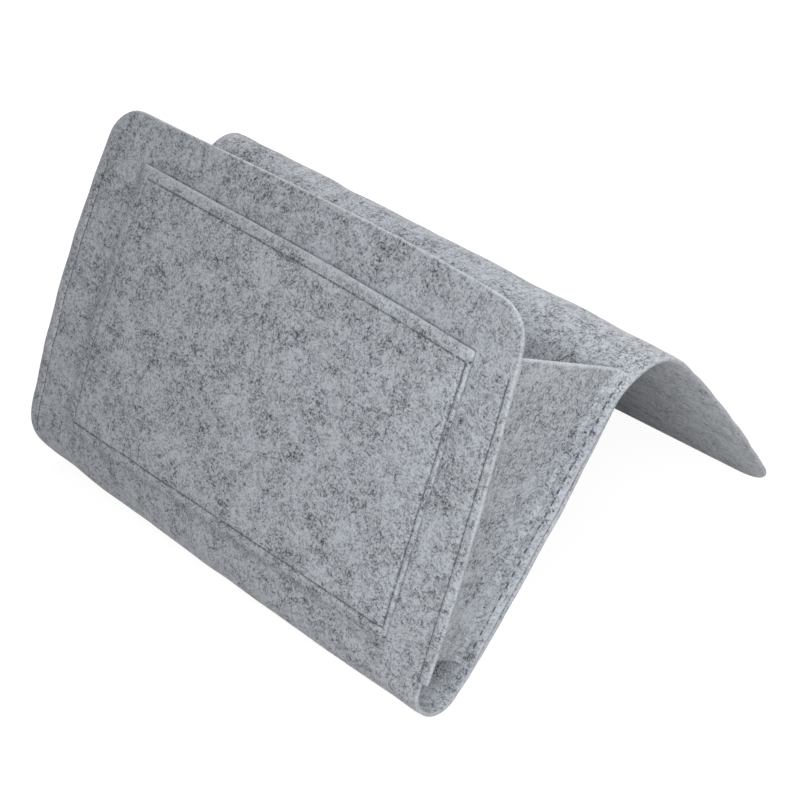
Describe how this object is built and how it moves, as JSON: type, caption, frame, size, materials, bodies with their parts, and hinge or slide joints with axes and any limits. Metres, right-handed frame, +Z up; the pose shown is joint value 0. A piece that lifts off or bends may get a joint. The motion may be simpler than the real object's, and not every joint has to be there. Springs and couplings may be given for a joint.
{
  "type": "bedside caddy",
  "caption": "Grey felt bedside caddy with a gusseted main pocket, a sewn patch pocket on its front and a long tuck flap that folds over behind.",
  "frame": {"origin": "Middle of the footprint, on the surface that the caddy stands on as a tent.", "axes": "+X along the width, to the right seen from the front; +Y from the front pocket towards the tuck flap; +Z up."},
  "size_m": [0.32, 0.299, 0.2197],
  "materials": {
    "felt": "needled wool-look felt, light grey heather with dark and pale fibres, matt",
    "thread": "dark grey sewing thread, matt"
  },
  "bodies": {
    "back": {"back_panel": "felt", "bottom_fold": "felt", "top_fold": "felt", "left_gusset": "felt", "right_gusset": "felt", "back_left_seam_needle_thread": "thread", "back_left_seam_bobbin_thread": "thread", "back_right_seam_needle_thread": "thread", "back_right_seam_bobbin_thread": "thread"},
    "front": {"front_panel": "felt", "patch_pocket": "felt", "patch_seam_needle_thread": "thread", "patch_seam_bobbin_thread": "thread", "patch_hem_needle_thread": "thread", "patch_hem_bobbin_thread": "thread", "front_left_seam_needle_thread": "thread", "front_left_seam_bobbin_thread": "thread", "front_right_seam_needle_thread": "thread", "front_right_seam_bobbin_thread": "thread"},
    "flap": {"tuck_flap": "felt"}
  },
  "joints": [
    {"name": "pocket_fold", "type": "hinge", "parent": "back", "child": "front", "pos_m": [0, -0.13032, 0.00949], "axis": [0.9999, -0.0004, -0.0114], "range_deg": [-18, 2], "stiffness_Nm_per_rad": 0.35, "springref_deg": 3.44, "deforming": ["bottom_fold", "left_gusset", "right_gusset"]},
    {"name": "flap_fold", "type": "hinge", "parent": "back", "child": "flap", "pos_m": [0, 0.01797, 0.1511], "axis": [0.9979, 0.0522, -0.0389], "range_deg": [-70, 100], "deforming": ["top_fold"]}
  ]
}
